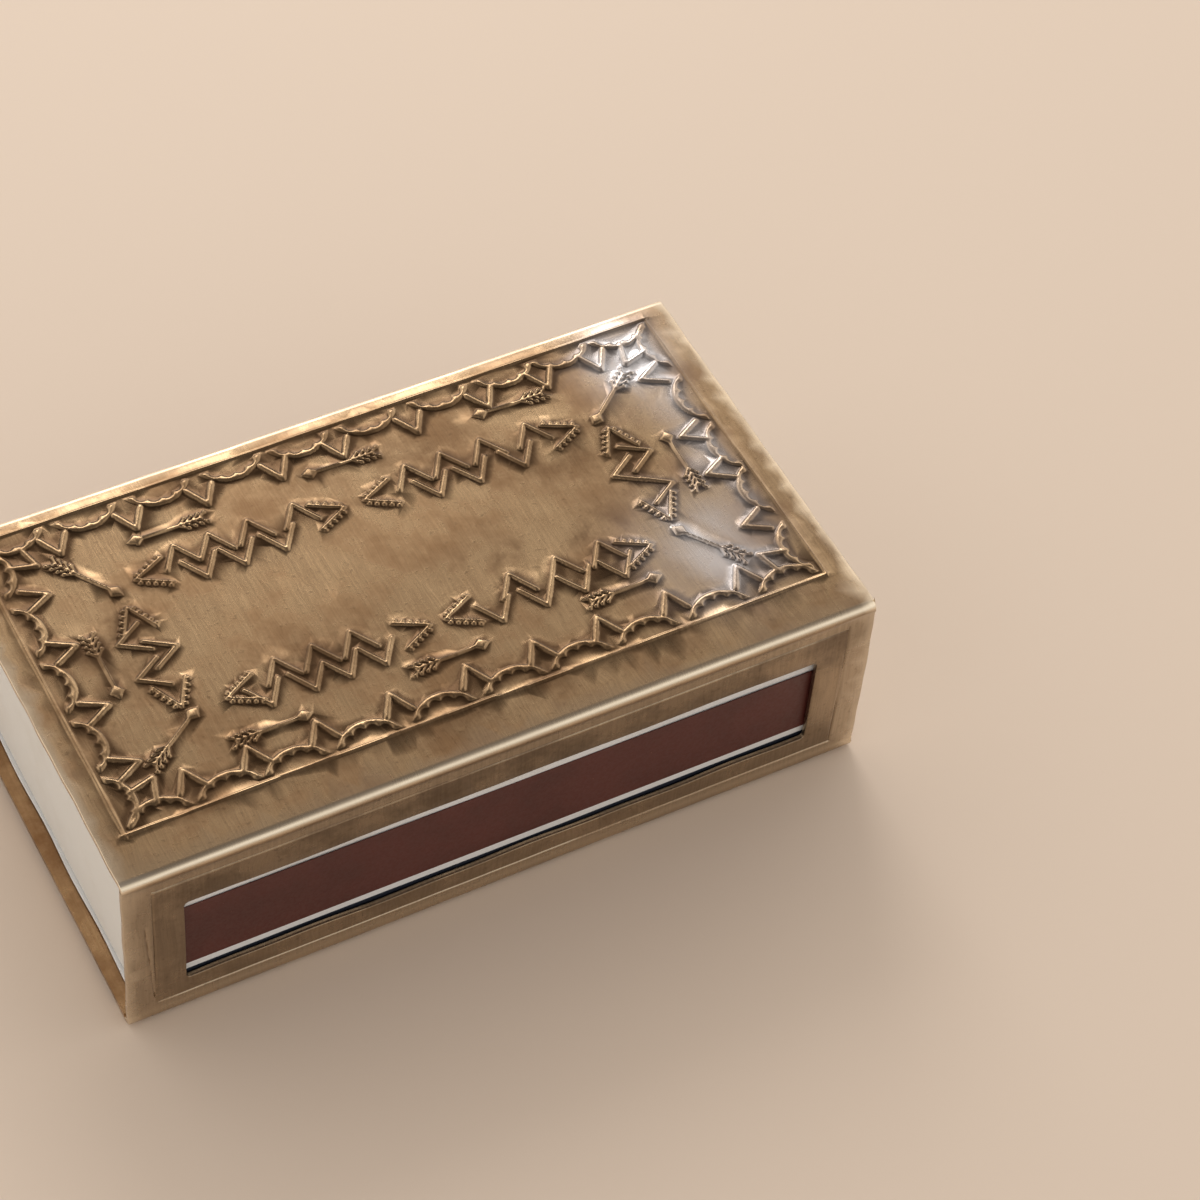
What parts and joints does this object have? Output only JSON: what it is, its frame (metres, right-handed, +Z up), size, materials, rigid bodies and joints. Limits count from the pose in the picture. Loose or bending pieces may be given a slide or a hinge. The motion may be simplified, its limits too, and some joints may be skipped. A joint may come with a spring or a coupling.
{
  "type": "matchbox holder",
  "caption": "Embossed sheet brass matchbox holder, open at both ends and windowed at both striking sides, around a slide-tray carton of kitchen matches.",
  "frame": {"origin": "centre of the footprint, on the surface that the holder stands on", "axes": "+X along the holder and the way its carton and tray slide, -Y towards the pictured side wall, +Z up through the embossed top"},
  "size_m": [0.122, 0.0694, 0.0358],
  "materials": {
    "cover_brass": "brushed sheet with a brown patina, bright on the folds and edges",
    "plate_brass": "plain rolled sheet, tarnished",
    "solder": "dull grey soft solder",
    "carton_board": "matt white printed board, left blank",
    "striker": "red-brown striking surface with fine grit",
    "tray_board": "thin uncoated board",
    "match_wood": "pale split aspen",
    "match_head": "matt red match compound"
  },
  "bodies": {
    "cover": {"cover_shell": "cover_brass", "base_plate": "plate_brass", "solder_seam": "solder"},
    "carton": {"box_sleeve": "carton_board", "striker_front": "striker", "striker_back": "striker"},
    "tray": {"tray": "tray_board", "matchsticks": "match_wood", "match_heads": "match_head"}
  },
  "joints": [
    {"name": "carton_slide", "type": "slide", "parent": "cover", "child": "carton", "axis": [1, 0, 0], "range_m": [-0.11, 0.11]},
    {"name": "tray_slide", "type": "slide", "parent": "carton", "child": "tray", "axis": [1, 0, 0], "range_m": [-0.1, 0.1]}
  ]
}
